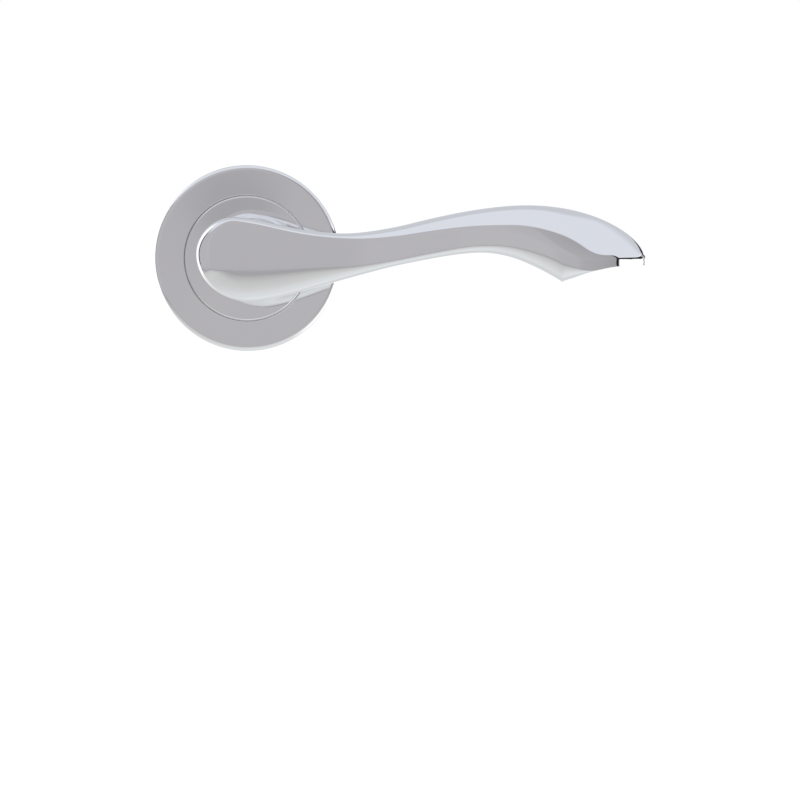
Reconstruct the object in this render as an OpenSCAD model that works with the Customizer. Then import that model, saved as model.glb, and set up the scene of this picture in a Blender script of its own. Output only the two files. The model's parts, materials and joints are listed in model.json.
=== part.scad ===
// Sprung door lever handle on a round rose, one side of the door.
// The turning axis is Y. The door's face is the plane y = 0 and the handle stands out along -Y,
// with the lever lying along +X and +Z up. Lengths are in millimetres.
// Modules draw in the rose's own axes: x right, y up, z outwards from the door. stand() turns them upright.

/* [Rose] */
// Outside diameter of the rose cover
rose_d = 52; // [51.5:0.5:54]
// How far the rose cover stands off the door
rose_h = 10; // [10:0.1:11]
// Wall of the rose cover
cover_wall = 1.2; // [1:0.1:1.3]
// Diameter of the collar that shows in the middle of the rose
collar_d = 34.6; // [34:0.1:34.8]
// How far the collar stands proud of the rose cover
collar_proud = 0.4; // [0.3:0.1:0.8]

/* [Fixing] */
// Distance between the two bolt-through holes
bolt_spacing = 38; // [37:0.5:38.5]
// Diameter of a bolt-through hole
bolt_hole_d = 4.5; // [4.2:0.1:5]
// Circle that the wood screw holes lie on
wood_screw_pcd = 40; // [39.5:0.1:40.2]
// Diameter of a wood screw hole
wood_screw_hole_d = 4.2; // [3.8:0.1:4.3]

/* [Lever] */
// Distance from the door to the middle of the grip
grip_depth = 52.3; // [50:0.1:56]
// Length of the grip from the turning axis to the tip
grip_reach = 105.4; // [102:0.2:112]
// Diameter of the neck where it leaves the rose
neck_root_d = 20.4; // [20:0.1:20.6]
// Diameter of the neck where it meets the grip
neck_top_d = 17.2; // [16.6:0.1:18]
// Width across the flats of the spindle socket
socket_w = 8.1; // [8:0.05:8.3]
// How deep the spindle socket goes from the back of the rose
socket_depth = 36; // [30:1:38]
// Thread diameter of the grub screw that grips the spindle
grub_d = 6; // [5:0.5:6]
// Distance from the door to the grub screw
grub_depth = 24; // [20:0.5:28]

/* [Mechanism] */
// Diameter of the lever's journal
journal_d = 15; // [14.6:0.1:15.2]
// How far the lever turns down
lever_travel = 45; // [30:1:50]
// Wire diameter of the return springs
spring_wire = 0.7; // [0.5:0.05:0.8]
// Outside diameter of a return spring
spring_od = 3.7; // [3.4:0.1:3.7]
// Coils in a return spring
spring_coils = 10; // [8:1:12]
// Wire diameter of the ring that holds the cover on
clip_wire = 0.8; // [0.7:0.05:0.9]

/* [Hidden] */
$fn = 96;
eps = 0.01;
lap = 0.5;                              // how far a shape runs into its neighbour in the same piece

// Rose cover
cover_r = rose_d / 2;
cover_face = 1.4;                       // thickness of the cover's front face
cover_round = 1.3;                      // rounding of the cover's front edge
cover_back_round = 0.4;                 // rounding of the cover's back edge
cover_lip = 0.35;                       // easing round the cover's opening
cover_bore_r = cover_r - cover_wall;    // inside of the cover's side wall
opening_r = collar_d / 2 + 0.3;         // hole in the cover's front face
notch = [6, 1.2];                       // pry notch in the cover's back edge, wide by deep

// Neck collar
collar_r = collar_d / 2;
collar_front = rose_h + collar_proud;
collar_face = 1.0;
collar_skirt = 1.0;
collar_back = 7.6;
collar_edge = 0.3;                      // bevel round the collar's face

// Base plate and the spring cassette on it
plate_r = cover_bore_r - 0.3;
plate_t = 2.4;
rim_w = 1.0;
rim_h = 5.4;
clip_z = 3.8;                           // depth of the ring's groove
clip_proud = 0.28;                      // how far the ring stands out of the rim
clip_clear = 0.1;                       // room round the ring in its grooves
pocket_r = 11.8;                        // pocket in the plate's back
web_t = 0.8;                            // web over that pocket
saving_r = [14, 22.2];                  // shallow pockets in the plate's back: radii, depth and angle
saving_depth = 0.9;
saving_span = 52;
tube_r = 9.9;
tube_top = 7.0;
block_top = 6.8;
bush_wall = 1.15;
bush_r = journal_d / 2 + 0.05 + bush_wall;
bush_flange = 0.6;
drum_r = 15.9;                          // outside of the cassette's wall
track_r = 13.9;                         // inside of the cassette's wall
drum_top = 8.2;
track_floor = plate_t + web_t;
track_mid_r = (tube_r + track_r) / 2;
block_span = 60;                        // angle of each solid block between the springs
lug_span = 9;                           // angle of each driver lug
lug_gap = 0.5;                          // angle between a lug and the block behind it, with the lever level
rivet_angles = [30, 150, 210, 330];
rivet_r = 14.9;
rivet_d = 1.2;
rivet_length = 3;                       // how far a rivet goes into the cassette's wall
rivet_head = [1.6, 1.1, 0.25];          // its diameter at the lid and on top, and its height
block_angles = [0, 180];                // where the middle of each block lies
pin_r = 11.9;
pin_d = 2;
pin_foot = plate_t + 1;                 // where a stop pin stands in its block
bolt_angles = [90, 270];
bolt_head_d = 8;
sink = 1.2;                             // depth of a wood screw hole's countersink
wood_angles = [45, 135, 225, 315];

// Driver plate, lid and washers along the axis
driver_z = 7.1;
driver_t = 1.0;
driver_r = track_r - 0.4;
key_d = 17;                             // keyed part of the lever behind the neck
key_flats = 15.4;
lid_z = drum_top;
lid_t = 0.8;
lid_bore_r = key_d / 2 + 0.8;
shoulder_z = lid_z + lid_t + 0.3;       // where the neck steps down to its key
circlip_t = 1.0;
circlip_z = 0.28;
journal_end = 0.05;
groove_depth = 0.4;                     // of the circlip's groove
neck_end = grip_depth - 5;              // where the neck stops, inside the grip

// Outline of the grip, as [x, value] pairs along its length
tip_x = grip_reach;
boss_left = -10.7;
boss_mid = 1;                                       // height of the middle of the boss over the neck
boss_arcs = [[-1, 9.6], [3, 12.05]];                // its upper and lower quarter ellipses: centre x and height
boss_half_depth = 6.5;
boss_turn = -5.7;                                   // where the boss's left end begins to round in
end_start = 89;                                     // where the rounded end begins, and its size
end_length = 16.4;
end_half_depth = 12.75;
stretch = (tip_x - end_start) / end_length;
cusp_x = 83.4;                                      // where the belly stops at an edge
crest = [[-1, 10.6], [5, 9.9], [12, 8.3], [20, 6.9], [29, 6.45], [40, 7.95], [50, 10.3], [60, 12.3], [70, 13.5],
         [77, 13.6], [84, 12.85], [90, 11.4], [95, 9.5], [100, 6.7], [103, 4.15], [104.6, 2.2], [105.4, 0.6]];
belly = [[3, -11.05], [10, -10.1], [20, -7.5], [30, -4.75], [40, -2.2], [50, -0.2], [58, 1.0], [64, 1.2],
         [70, 0.3], [76, -1.9], [81, -4.5], [83.4, -6.0]];
// Underside of the rounded end, cut up from the cusp where the belly stops
undercut = [[83.4, -6.0], [86, -5.2], [90, -3.7], [94, -2.55], [98, -2.1], [105.4, -1.95]];
half_depth = [[-5.7, 6.5], [5, 6.5], [20, 6.7], [30, 7.0], [40, 7.7], [50, 8.5], [60, 9.4], [70, 10.7], [80, 12.1],
              [86, 12.65], [89, 12.75]];
// Heights where the crown above and the roll below meet the grip's upright side
crown_foot = [[-1, 8.1], [10, 5.8], [20, 4.4], [30, 4.3], [40, 5.0], [50, 5.9], [60, 6.2], [70, 5.6], [80, 4.0],
              [85, 2.8], [90, 1.6], [95, 0.7], [100, 0.3], [105.4, -0.3]];
roll_top = [[3, -3.0], [20, -2.9], [30, -2.4], [40, -0.6], [50, 1.6], [60, 3.3], [70, 3.3], [80, 0.8], [86, -1.6],
            [90, -2.4], [98, -1.7], [105.4, -1.6]];

// Smooth curve through [x, value] pairs, flat outside them
function slope(k, i) = let(a = max(i - 1, 0), b = min(i + 1, len(k) - 1)) (k[b][1] - k[a][1]) / (k[b][0] - k[a][0]);
function span_of(k, x, i = 0) = i >= len(k) - 2 || x < k[i + 1][0] ? i : span_of(k, x, i + 1);
function curve(k, x) =
    let(q = min(max(x, k[0][0]), k[len(k) - 1][0]), i = span_of(k, q), h = k[i + 1][0] - k[i][0],
        t = (q - k[i][0]) / h, t2 = t * t, t3 = t2 * t)
    (2 * t3 - 3 * t2 + 1) * k[i][1] + (t3 - 2 * t2 + t) * h * slope(k, i)
    + (3 * t2 - 2 * t3) * k[i + 1][1] + (t3 - t2) * h * slope(k, i + 1);

// The grip's height and depth at x. Left of the axis its outline is two quarter ellipses round one middle height
function boss_arc(x, a) = a[1] * sqrt(max(0, 1 - pow((a[0] - x) / (a[0] - boss_left), 2)));
function top_of(x) = x < boss_arcs[0][0] ? boss_mid + boss_arc(x, boss_arcs[0]) : curve(crest, x);
function bottom_of(x) =
    x < boss_arcs[1][0] ? boss_mid - boss_arc(x, boss_arcs[1]) : x < cusp_x ? curve(belly, x) : curve(undercut, x);
function depth_of(x) =
    x < boss_turn ? boss_half_depth * pow(max(0, 1 - pow((boss_turn - x) / (boss_turn - boss_left), 2.5)), 0.4)
    : x > end_start ? end_half_depth * sqrt(max(0, 1 - pow((x - end_start) / end_length, 2.2)))
    : curve(half_depth, x);
function mix(a, b, t) = a + (b - a) * t;
function crown_foot_of(x) =
    x < boss_arcs[0][0] ? mix(boss_mid, crown_foot[0][1], (top_of(x) - boss_mid) / boss_arcs[0][1])
    : curve(crown_foot, x);
function roll_top_of(x) =
    x < boss_arcs[1][0] ? mix(boss_mid, roll_top[0][1], (boss_mid - bottom_of(x)) / boss_arcs[1][1])
    : min(curve(roll_top, x), crown_foot_of(x) - 0.2);

// Half of the grip's section at x, from the middle of the crest to the middle of the belly, as [height, depth]
arc_steps = 5;
crown_width = 0.78;                                 // share of the half depth that the crown and roll take
roll_width = 0.55;
function half_section(x) =
    let(t = top_of(x), f = crown_foot_of(x), r = roll_top_of(x), b = bottom_of(x), w = depth_of(x),
        cw = w * crown_width, rw = w * roll_width)
    concat([for (i = [0 : arc_steps]) let(a = 90 * i / arc_steps) [f + (t - f) * cos(a), w - cw + cw * sin(a)]],
           [for (i = [0 : arc_steps]) let(a = 90 * i / arc_steps) [r + (b - r) * sin(a), w - rw + rw * cos(a)]]);
function section(x) = let(h = half_section(x), n = len(h))
    concat(h, [for (i = [n - 1 : -1 : 0]) [h[i][0], -h[i][1]]]);

// Places of the sections, closer together towards both ends
boss_stations = 7.7;                                // how far the closer ones reach in from the left
stations = concat([for (a = [12 : 13 : 90]) boss_left + boss_stations * (1 - cos(a))],
                  [for (x = [-1 : 3.75 : end_start - 2]) x],
                  [for (a = [0 : 8 : 88]) end_start + end_length * sin(a)]);
function placed(x) = x > end_start ? end_start + (x - end_start) * stretch : x;

module stand() rotate([90, 0, 0]) children();

// A tube round the axis from z0 to z1
module tube(r_out, r_in, z0, z1) translate([0, 0, z0]) difference() {
    cylinder(r = r_out, h = z1 - z0);
    translate([0, 0, -1]) cylinder(r = r_in, h = z1 - z0 + 2);
}

// Part of a tube, spread evenly about an angle
module tube_sector(r_out, r_in, z0, z1, middle, span)
    translate([0, 0, z0]) rotate([0, 0, middle - span / 2])
        rotate_extrude(angle = span) translate([r_in, 0]) square([r_out - r_in, z1 - z0]);

// Places its children on a circle, once for each angle
module ring_of(angles, r) for (a = angles) rotate([0, 0, a]) translate([r, 0, 0]) children();

// Outside profile of the rose cover, with rounded front and eased back edges
module cover_profile() {
    difference() {
        union() {
            translate([opening_r, rose_h - cover_face]) square([cover_r - opening_r - cover_round, cover_face]);
            translate([cover_bore_r, cover_back_round])
                square([cover_wall, rose_h - cover_round - cover_back_round]);
            translate([cover_bore_r, 0]) square([cover_wall - cover_back_round, cover_back_round + eps]);
            translate([cover_r - cover_round, rose_h - cover_round]) circle(r = cover_round, $fn = 48);
            translate([cover_r - cover_back_round, cover_back_round]) circle(r = cover_back_round, $fn = 32);
        }
        // Groove that the clip ring springs into
        translate([cover_bore_r - 1 + clip_proud + clip_clear, clip_z - clip_wire / 2 - clip_clear])
            square([1, clip_wire + 2 * clip_clear]);
        // Eased lip round the opening
        translate([opening_r - eps, rose_h + eps]) polygon([[0, 0], [cover_lip, 0], [0, -cover_lip]]);
    }
}

module rose_cover() color("silver") stand() difference() {
    rotate_extrude($fn = 160) cover_profile();
    // Notch at the bottom to prise the cover off
    translate([-notch[0] / 2, -cover_r - 1, -1]) cube([notch[0], 3, notch[1] + 1]);
}

module neck_collar() color("silver") stand() difference() {
    union() {
        rotate_extrude() polygon([[1, collar_front - collar_face], [collar_r, collar_front - collar_face],
                                  [collar_r, collar_front - collar_edge], [collar_r - collar_edge, collar_front],
                                  [1, collar_front]]);
        tube(collar_r, collar_r - collar_skirt, collar_back, collar_front - collar_face + eps);
    }
    cylinder(d = neck_root_d, h = rose_h + 5);
}

// Thin ring with waves round it, which takes up the lever's end play behind the rear bush
wave_count = 3;
wave_low = circlip_z + circlip_t;
wave_high = plate_t - bush_flange - 0.02;
wave_t = 0.2;
wave_steps = 60;
wave_inner_r = journal_d / 2 + 0.15;
wave_outer_r = 10.4;
function wave_z(i) = wave_low + (wave_high - wave_low - wave_t) * (1 - cos(360 * wave_count * i / wave_steps)) / 2;
function wave_point(i, r, up) = let(a = 360 * i / wave_steps) [r * cos(a), r * sin(a), wave_z(i) + up];
module wave_washer() color("gray") stand() polyhedron(
    points = [for (i = [0 : wave_steps - 1])
              each [wave_point(i, wave_inner_r, 0), wave_point(i, wave_outer_r, 0),
                    wave_point(i, wave_outer_r, wave_t), wave_point(i, wave_inner_r, wave_t)]],
    faces = [for (i = [0 : wave_steps - 1], k = [0 : 3])
             let(p = 4 * i, q = 4 * ((i + 1) % wave_steps), m = (k + 1) % 4)
             each [[p + k, p + m, q + k], [p + m, q + m, q + k]]]);

module bolt_holes(d, z0, z1)
    ring_of(bolt_angles, bolt_spacing / 2) translate([0, 0, z0]) cylinder(d = d, h = z1 - z0);

module base_plate() color("darkgray") stand() difference() {
    union() {
        cylinder(r = plate_r, h = plate_t);
        tube(plate_r, plate_r - rim_w, plate_t - eps, rim_h);
        tube(drum_r, track_r, plate_t - eps, drum_top);
        tube(tube_r, bush_r, plate_t, tube_top);
        cylinder(r = track_r + lap, h = track_floor);
        for (a = block_angles) tube_sector(track_r + lap, tube_r - lap, plate_t, block_top, a, block_span);
    }
    translate([0, 0, -1]) cylinder(r = bush_r, h = tube_top + 2);
    translate([0, 0, -1]) cylinder(r = pocket_r, h = plate_t + 1);
    // Groove round the rim for the clip ring
    translate([0, 0, clip_z]) rotate_extrude() translate([plate_r + clip_proud - clip_wire / 2, 0])
        square([clip_wire, clip_wire + clip_clear], center = true);
    // Bolt-through holes, with room for the bolt heads beside the cassette
    bolt_holes(bolt_hole_d, -1, plate_t + 1);
    bolt_holes(bolt_head_d, plate_t, drum_top + 1);
    // Countersunk wood screw holes
    ring_of(wood_angles, wood_screw_pcd / 2) {
        translate([0, 0, -1]) cylinder(d = wood_screw_hole_d, h = plate_t + 2);
        translate([0, 0, plate_t - sink])
            cylinder(d1 = wood_screw_hole_d, d2 = wood_screw_hole_d + 2 * sink, h = sink + eps);
    }
    ring_of(rivet_angles, rivet_r) translate([0, 0, drum_top - rivet_length])
        cylinder(d = rivet_d, h = rivet_length + 1, $fn = 32);
    ring_of(block_angles, pin_r) translate([0, 0, pin_foot]) cylinder(d = pin_d, h = 8, $fn = 32);
    // Shallow pockets that save metal in the plate's back
    for (a = [0, 180]) tube_sector(saving_r[1], saving_r[0], -1, saving_depth, a, saving_span);
}

module cover_clip_ring() color("gray") stand() translate([0, 0, clip_z]) rotate([0, 0, -75])
    rotate_extrude(angle = 330) translate([plate_r + clip_proud - clip_wire / 2, 0]) circle(d = clip_wire, $fn = 24);

module rear_bush() color("white") stand() {
    tube(bush_r, journal_d / 2 + 0.05, plate_t - bush_flange, tube_top);
    tube(pocket_r - 0.6, bush_r - eps, plate_t - bush_flange, plate_t);
}

// Angles along each spring's half of the track, from the middle of the block that the spring pushes on
lug_start = 180 - block_span / 2 - lug_gap - lug_span;
seat_t = 1.0;                           // flange of the seat between a lug and its spring
seat_d = 3.4;
spigot = [1.6, 1.5];                    // diameter and length of the seat's spigot, inside the coils
spring_gap = 0.8;                       // angle left clear at each end of a spring
spring_start = lug_start - seat_t / track_mid_r * 180 / PI - spring_gap;
spring_span = spring_start - block_span / 2 - spring_gap;
track_mid_z = (track_floor + driver_z) / 2;

// Helical wire bent round the axis: the coil's centre follows a circle from one angle to another
wire_sides = 6;
wire_steps = 12;
coil_r = (spring_od - spring_wire) / 2;
function coil_frame(t, a0) =
    let(a = a0 - spring_span * t, w = 360 * spring_coils * t,
        out = [cos(a), sin(a), 0], up = [0, 0, 1], radial = out * cos(w) + up * sin(w))
    [out * track_mid_r + up * track_mid_z + radial * coil_r, radial, cross(up, out)];
function spring_points(a0) = [for (i = [0 : spring_coils * wire_steps])
    let(f = coil_frame(i / (spring_coils * wire_steps), a0))
    for (k = [0 : wire_sides - 1]) let(s = 360 * k / wire_sides)
        f[0] + (f[1] * cos(s) + f[2] * sin(s)) * spring_wire / 2];
function spring_faces(rings) = concat(
    [[for (k = [0 : wire_sides - 1]) k]],
    [for (i = [0 : rings - 2], k = [0 : wire_sides - 1])
        let(p = i * wire_sides, q = p + wire_sides, m = (k + 1) % wire_sides)
        each [[p + k, q + k, p + m], [p + m, q + k, q + m]]],
    [[for (k = [wire_sides - 1 : -1 : 0]) (rings - 1) * wire_sides + k]]);
module return_spring(block) color("gray") stand()
    polyhedron(points = spring_points(block + spring_start), faces = spring_faces(spring_coils * wire_steps + 1));
module upper_return_spring() return_spring(block_angles[0]);
module lower_return_spring() return_spring(block_angles[1]);

// Seat between a driver lug and its spring, with a spigot inside the coils
module spring_seat(block) color("white") stand() rotate([0, 0, block + lug_start])
    translate([track_mid_r, 0, track_mid_z]) rotate([90, 0, 0]) {
        cylinder(d = seat_d, h = seat_t);
        cylinder(d = spigot[0], h = seat_t + spigot[1], $fn = 32);
    }
module upper_spring_seat() spring_seat(block_angles[0]);
module lower_spring_seat() spring_seat(block_angles[1]);

// Pins that stand in the blocks and stop the driver at both ends of its slots
module stop_pin(a) color("gray") stand() ring_of([a], pin_r) translate([0, 0, pin_foot])
    cylinder(d = pin_d, h = driver_z + driver_t - pin_foot, $fn = 32);
module upper_stop_pin() stop_pin(block_angles[0]);
module lower_stop_pin() stop_pin(block_angles[1]);

module cassette_lid() color("gray") stand() difference() {
    tube(drum_r, lid_bore_r, lid_z, lid_z + lid_t);
    bolt_holes(bolt_head_d, lid_z - 1, lid_z + 2);
    ring_of(rivet_angles, rivet_r) translate([0, 0, lid_z - 1]) cylinder(d = rivet_d, h = 3, $fn = 32);
}

module lid_rivets() color("gray") stand() ring_of(rivet_angles, rivet_r) {
    translate([0, 0, drum_top - rivet_length]) cylinder(d = rivet_d, h = rivet_length + lid_t, $fn = 32);
    translate([0, 0, lid_z + lid_t]) cylinder(d1 = rivet_head[0], d2 = rivet_head[1], h = rivet_head[2], $fn = 32);
}

module grip() {
    sections = [for (x = stations) [for (p = section(x)) [placed(x), p[0], grip_depth + p[1]]]];
    n = len(sections[0]);
    m = len(stations);
    polyhedron(
        points = [for (s = sections) each s],
        faces = concat([[for (k = [0 : n - 1]) k]],
                       [for (i = [0 : m - 2], k = [0 : n - 1])
                           let(p = i * n, q = p + n, j = (k + 1) % n)
                           each [[p + k, q + k, p + j], [p + j, q + k, q + j]]],
                       [[for (k = [n - 1 : -1 : 0]) (m - 1) * n + k]]));
}

module lever() color("silver") stand() difference() {
    union() {
        grip();
        translate([0, 0, shoulder_z]) cylinder(d = neck_root_d, h = collar_front - shoulder_z);
        translate([0, 0, collar_front]) cylinder(d1 = neck_root_d, d2 = neck_top_d, h = neck_end - collar_front);
        intersection() {
            translate([0, 0, driver_z]) cylinder(d = key_d, h = shoulder_z - driver_z + 1);
            translate([-key_d, -key_flats / 2, driver_z - 1]) cube([2 * key_d, key_flats, 5]);
        }
        translate([0, 0, journal_end]) cylinder(d = journal_d, h = shoulder_z);
    }
    translate([-socket_w / 2, -socket_w / 2, -1]) cube([socket_w, socket_w, socket_depth + 1]);
    translate([0, 0, grub_depth]) rotate([90, 0, 0]) cylinder(d = grub_d, h = 20);
    translate([0, 0, circlip_z - 0.02]) difference() {
        cylinder(r = journal_d, h = circlip_t + 0.04);
        translate([0, 0, -1]) cylinder(d = journal_d - 2 * groove_depth, h = 3);
    }
}

module driver_plate() color("gray") stand() difference() {
    union() {
        translate([0, 0, driver_z]) cylinder(r = driver_r, h = driver_t);
        // Lugs that push the springs
        for (a = block_angles)
            tube_sector(driver_r - 0.2, tube_r + 0.3, track_floor + 0.3, driver_z + driver_t / 2,
                        a + lug_start + lug_span / 2, lug_span);
    }
    intersection() {
        translate([0, 0, driver_z - 5]) cylinder(d = key_d + 0.04, h = 10);
        translate([-key_d, -key_flats / 2 - 0.02, driver_z - 5]) cube([2 * key_d, key_flats + 0.04, 10]);
    }
    for (a = block_angles) stop_slot(a);
}

// Curved slot that runs on a stop pin. The pin is at its start with the lever level
module stop_slot(a) {
    tube_sector(pin_r + pin_d / 2 + 0.06, pin_r - pin_d / 2 - 0.06, driver_z - 1, driver_z + 3,
                a + lever_travel / 2, lever_travel);
    ring_of([a, a + lever_travel], pin_r) translate([0, 0, driver_z - 1])
        cylinder(d = pin_d + 0.2, h = 4, $fn = 32);
}

// Flanged bush in the lid, which guides the lever and takes its thrust
module front_bush() color("white") stand() {
    tube(lid_bore_r, key_d / 2 + 0.05, lid_z, lid_z + lid_t);
    tube(neck_root_d / 2 - 0.1, key_d / 2 + 0.05, lid_z + lid_t, shoulder_z - 0.02);
}

// External circlip, open between its two eyes
circlip_w = 2;                          // width of its band
eye_angle = 12;
eye_r = 1.7;
eye_hole_r = 0.7;
circlip_gap = 2;
module circlip_eyes(r, z0, z1) for (a = [-eye_angle, eye_angle]) rotate([0, 0, 90 + a])
    translate([journal_d / 2 + eye_r, 0, z0]) cylinder(r = r, h = z1 - z0, $fn = 48);
module circlip() color("dimgray") stand() translate([0, 0, circlip_z]) difference() {
    union() {
        cylinder(d = journal_d + 2 * circlip_w, h = circlip_t);
        circlip_eyes(eye_r, 0, circlip_t);
    }
    translate([0, 0, -1]) cylinder(d = journal_d - 2 * groove_depth, h = 3);
    translate([-circlip_gap / 2, 0, -1]) cube([circlip_gap, journal_d, 3]);
    circlip_eyes(eye_hole_r, -1, 2);
}

// Socket set screw with a hexagon socket, screwed in from below the neck
grub_start = socket_w / 2 + 0.3;        // distances of its point and its end from the axis
grub_end = 9.0;
grub_point = 0.8;                       // length of its tapered point
hexagon_d = 3.46;                       // across the corners
hexagon_depth = 2.6;
module spindle_grub_screw() color("dimgray") stand() translate([0, 0, grub_depth]) rotate([90, 0, 0])
    difference() {
        union() {
            translate([0, 0, grub_start]) cylinder(d1 = grub_d - 2, d2 = grub_d - 0.02, h = grub_point);
            translate([0, 0, grub_start + grub_point])
                cylinder(d = grub_d - 0.02, h = grub_end - grub_start - grub_point);
        }
        translate([0, 0, grub_end - hexagon_depth]) cylinder(d = hexagon_d, h = 5, $fn = 6);
    }

base_plate();
rear_bush();
upper_return_spring();
lower_return_spring();
upper_stop_pin();
lower_stop_pin();
cassette_lid();
lid_rivets();
front_bush();
cover_clip_ring();
rose_cover();
lever();
neck_collar();
driver_plate();
upper_spring_seat();
lower_spring_seat();
wave_washer();
circlip();
spindle_grub_screw();
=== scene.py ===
"""Sprung door lever handle on a round rose: its looks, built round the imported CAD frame."""

import json
import math

import bmesh
import bpy
import numpy as np
from mathutils import Matrix, Vector


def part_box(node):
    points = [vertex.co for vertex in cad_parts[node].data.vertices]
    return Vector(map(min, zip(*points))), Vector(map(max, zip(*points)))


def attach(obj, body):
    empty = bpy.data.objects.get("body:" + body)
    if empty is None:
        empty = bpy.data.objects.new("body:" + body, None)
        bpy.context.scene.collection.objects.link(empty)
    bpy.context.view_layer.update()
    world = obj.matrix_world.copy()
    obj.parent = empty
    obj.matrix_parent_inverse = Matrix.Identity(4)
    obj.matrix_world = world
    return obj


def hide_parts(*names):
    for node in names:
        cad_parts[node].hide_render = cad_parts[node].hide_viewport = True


MM = 0.001
SHARP = 25                              # edges bent more than this many degrees shade as edges
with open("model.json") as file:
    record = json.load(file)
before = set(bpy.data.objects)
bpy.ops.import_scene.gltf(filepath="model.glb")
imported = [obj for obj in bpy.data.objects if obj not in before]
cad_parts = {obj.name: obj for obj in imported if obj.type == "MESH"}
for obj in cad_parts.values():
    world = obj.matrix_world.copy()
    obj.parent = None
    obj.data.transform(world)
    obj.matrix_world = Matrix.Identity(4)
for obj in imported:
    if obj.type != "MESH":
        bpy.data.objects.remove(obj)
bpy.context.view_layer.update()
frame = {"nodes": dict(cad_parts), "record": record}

# ---------------------------------------------------------------- places taken from the frame, in millimetres
# Depth is measured from the door's face outwards, so depth = -y. x and z are the frame's own.


def box_mm(node):
    low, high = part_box(node)
    return Vector(low) / MM, Vector(high) / MM


def depths(node):
    """(back, front) of a node, as depths from the door."""
    low, high = box_mm(node)
    return -high.y, -low.y


lever_low, lever_high = box_mm("lever")
ROSE_R = box_mm("rose_cover")[1].x
ROSE_H = depths("rose_cover")[1]
COLLAR_R = box_mm("neck_collar")[1].x
COLLAR_BACK, COLLAR_FRONT = depths("neck_collar")
TIP_X = lever_high.x
GRIP_HALF_DEPTH = 12.75                 # at its widest, near the tip
GRIP_DEPTH = -lever_low.y - GRIP_HALF_DEPTH


# ---------------------------------------------------------------- camera
def make_camera():
    """At the photograph's viewing angle: level with the turning axis and a little to its right."""
    data = bpy.data.cameras.new("camera")
    data.sensor_width = 36.0
    data.lens = 87.2
    data.clip_start = 0.01
    data.clip_end = 50.0
    camera = bpy.data.objects.new("camera", data)
    bpy.context.scene.collection.objects.link(camera)
    camera.location = (0.0286, -0.555, 0.0)
    tilt_down, turn_right = math.radians(4.18), math.radians(1.5)
    camera.rotation_euler = (math.radians(90) - tilt_down, 0.0, -turn_right)
    bpy.context.scene.camera = camera


# ---------------------------------------------------------------- mesh helpers
def make_object(name, points_mm, faces, sharp_angle=None):
    """A mesh object from points in millimetres. Edges bent more than sharp_angle degrees shade as edges."""
    mesh = bpy.data.meshes.new(name)
    mesh.from_pydata([tuple(p) for p in np.asarray(points_mm) * MM], [], [tuple(f) for f in faces])
    mesh.validate()
    mesh.update()
    mesh.shade_smooth()
    if sharp_angle is not None:
        mesh.set_sharp_from_angle(angle=math.radians(sharp_angle))
    piece = bpy.data.objects.new(name, mesh)
    bpy.context.scene.collection.objects.link(piece)
    return piece


def arc(centre, radius, start, end, steps=8):
    """Points [radius, depth] along an arc, angles in degrees from outwards towards the front."""
    angles = np.radians(np.linspace(start, end, steps + 1))
    return [(centre[0] + radius * math.cos(a), centre[1] + radius * math.sin(a)) for a in angles]


def merge_doubles(mesh):
    bm = bmesh.new()
    bm.from_mesh(mesh)
    bmesh.ops.remove_doubles(bm, verts=bm.verts, dist=1e-7)
    bm.to_mesh(mesh)
    bm.free()


def turned(profile, angles):
    """Points of a closed [radius, depth] profile turned about the axis, and the quads between them."""
    profile = np.array(profile)
    rows = []
    for a in angles:
        across, up = profile[:, 0] * math.cos(a), profile[:, 0] * math.sin(a)
        rows.append(np.column_stack([across, -profile[:, 1], up]))
    points = np.vstack(rows)
    n, m = len(profile), len(angles)
    faces = []
    for i in range(m):
        for k in range(n):
            p, q, j = i * n, ((i + 1) % m) * n, (k + 1) % n
            faces.append((p + k, p + j, q + j, q + k))
    return points, faces


# ---------------------------------------------------------------- the lever's grip
# Outlines of the grip as [x, value] pairs, in millimetres: the CAD model's, tuned for the reflections
CREST = [(-4, 10.13), (-1, 10.6), (5, 9.9), (12, 8.3), (20, 6.9), (29, 6.45), (40, 7.95), (50, 10.3),
         (60, 12.3), (70, 13.5), (77, 13.6), (84, 12.85), (90, 11.4), (95, 9.5), (100, 6.7), (103, 4.15),
         (104.6, 2.2), (105.4, 0.6)]
BELLY = [(-4, -9.36), (0, -10.76), (3, -11.05), (10, -10.1), (20, -7.5), (30, -4.75), (40, -2.2),
         (50, -0.2), (58, 1.0), (64, 1.2), (70, 0.1), (76, -2.3), (81, -4.95), (84, -6.85), (90, -10.9)]
UNDERCUT = [(-4, -45), (70, -12.2), (78, -8.4), (83.4, -6.0), (86, -5.2), (90, -3.7), (94, -2.55),
            (98, -2.1), (105.4, -1.95)]
CROWN_FOOT = [(-4, 9.35), (-1, 9.6), (3, 8.9), (8, 7.9), (14, 6.5), (20, 5.55), (26, 5.0), (32, 4.7),
              (40, 5.0), (50, 5.9), (60, 6.2), (70, 5.2), (80, 2.6), (85, 0.5), (88, -0.4), (92, -0.7),
              (95, -0.35), (97, -0.12), (100, -0.2), (105.4, -0.4)]
ROLL_TOP = [(-4, -1.9), (20, -1.85), (30, -1.7), (40, -0.4), (50, 1.6), (60, 3.3), (70, 3.3), (80, 0.8),
            (83.3, -1.1), (87.6, -2.8), (90, -3.3), (94, -2.4), (98, -1.95), (105.4, -1.8)]
HALF_DEPTH = [(-4, 6.5), (5, 6.5), (20, 6.7), (30, 7.0), (40, 7.7), (50, 8.5), (60, 9.4), (70, 10.7),
              (80, 12.1), (86, 12.65), (89, GRIP_HALF_DEPTH), (95, GRIP_HALF_DEPTH)]
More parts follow.
